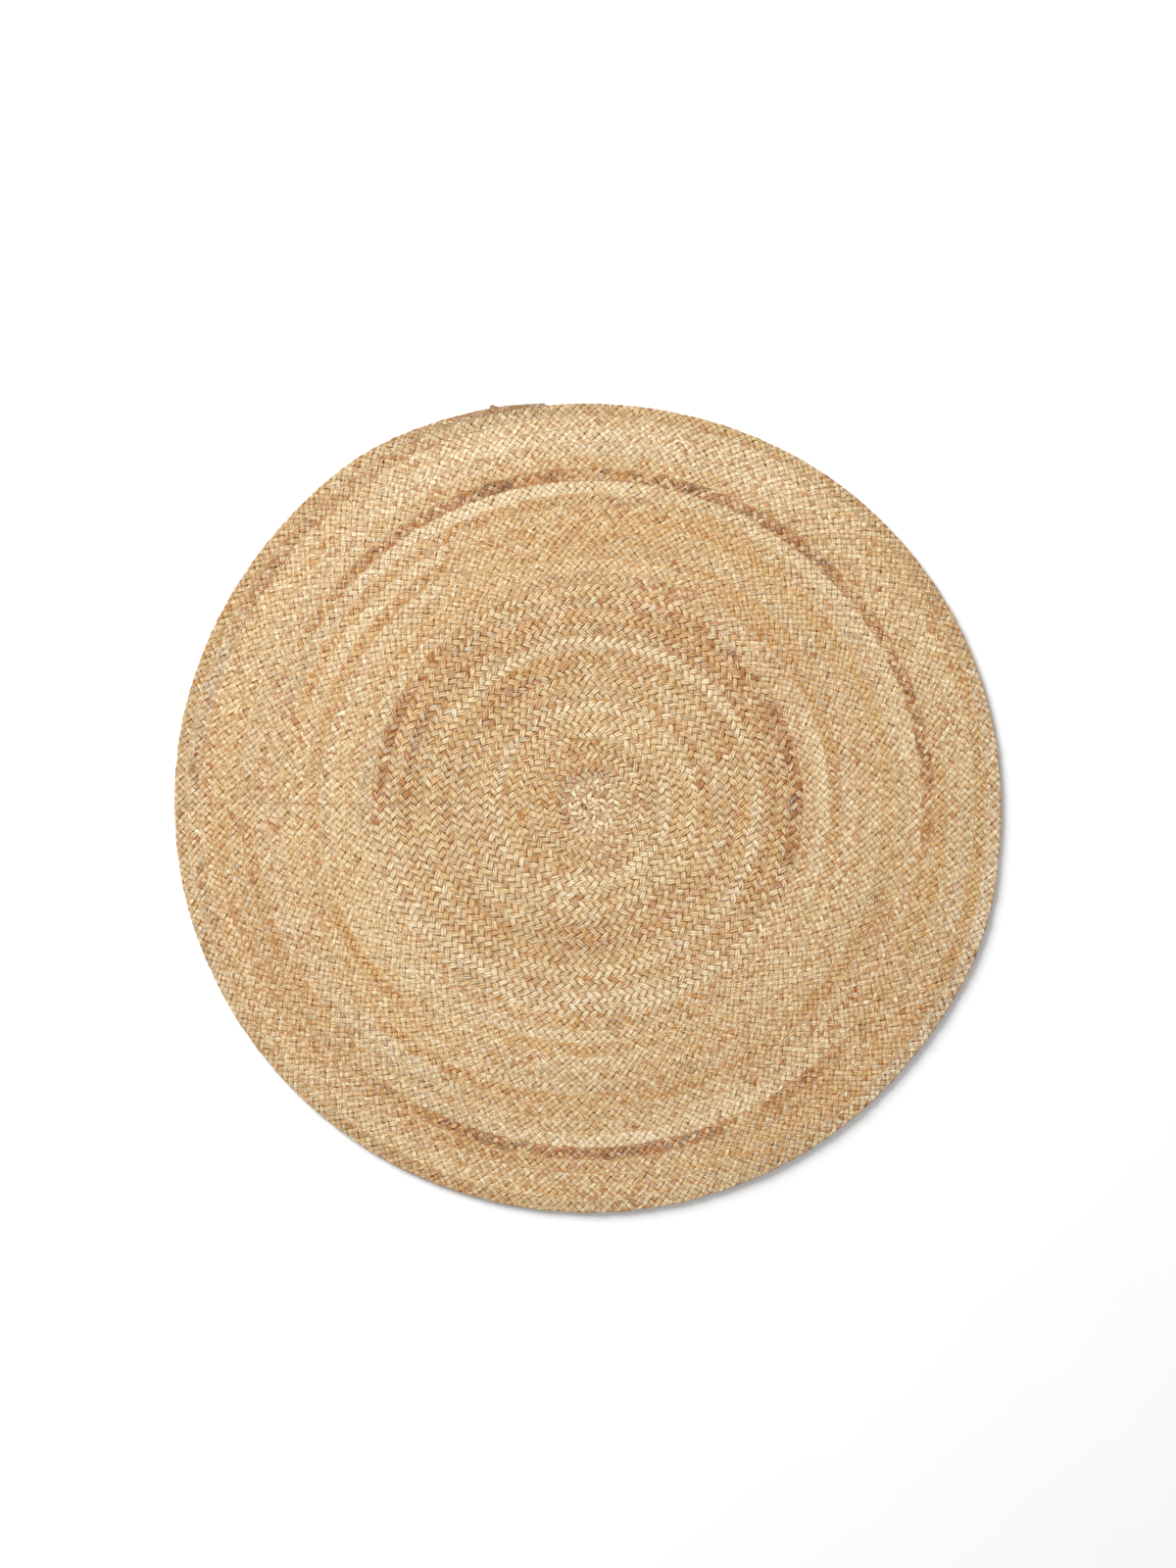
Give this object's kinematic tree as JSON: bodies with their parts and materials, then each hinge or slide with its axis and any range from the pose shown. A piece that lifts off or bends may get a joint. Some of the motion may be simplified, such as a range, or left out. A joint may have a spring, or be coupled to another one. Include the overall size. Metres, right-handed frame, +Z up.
{
  "type": "area rug",
  "caption": "Round braided jute rug: one flat plait wound clockwise into a coil and sewn edge to edge, with its outer end narrowed and tucked in. It lies flat on a floor.",
  "frame": {"origin": "middle of the rug's underside, which is the bottom centre of its bounding box", "axes": "+Z up out of the walking face, +Y towards the top of the picture, +X to its right"},
  "size_m": [1.197, 1.1879, 0.01],
  "materials": {
    "jute_three_strand": "plaited jute tow, matt with a slight silky sheen",
    "jute_five_strand": "plaited jute tow, matt with a slight silky sheen",
    "jute_greyed": "plaited jute tow, greyer and duller",
    "sewing_thread": "spun jute-coloured thread"
  },
  "bodies": {
    "root": {"coil_start": "jute_three_strand", "end_tack": "sewing_thread", "inner_end": "jute_three_strand", "inner_turn_01": "jute_three_strand", "inner_turn_02": "jute_three_strand", "inner_turn_03": "jute_three_strand", "inner_turn_04": "jute_three_strand", "inner_turn_05": "jute_three_strand", "inner_turn_06": "jute_three_strand", "inner_turn_07": "jute_three_strand", "inner_turn_08": "jute_three_strand", "inner_turn_09": "jute_three_strand", "inner_turn_10": "jute_three_strand", "inner_turn_11": "jute_three_strand", "inner_turn_12": "jute_three_strand", "inner_turn_13": "jute_three_strand", "inner_turn_14": "jute_three_strand", "inner_turn_15": "jute_three_strand", "inner_turn_16": "jute_three_strand", "outer_end": "jute_greyed", "outer_turn_17": "jute_five_strand", "outer_turn_18": "jute_five_strand", "outer_turn_19": "jute_five_strand", "outer_turn_20": "jute_five_strand", "outer_turn_21": "jute_five_strand", "outer_turn_22": "jute_five_strand", "outer_turn_23": "jute_five_strand", "outer_turn_24": "jute_five_strand", "outer_turn_25": "jute_five_strand", "outer_turn_26": "jute_five_strand", "outer_turn_27": "jute_five_strand", "outer_turn_28": "jute_five_strand", "outer_turn_29": "jute_five_strand", "outer_turn_30": "jute_five_strand", "outer_turn_31": "jute_greyed", "seam_thread_top": "sewing_thread", "seam_thread_under": "sewing_thread", "strand_stub": "jute_greyed"}
  },
  "joints": []
}
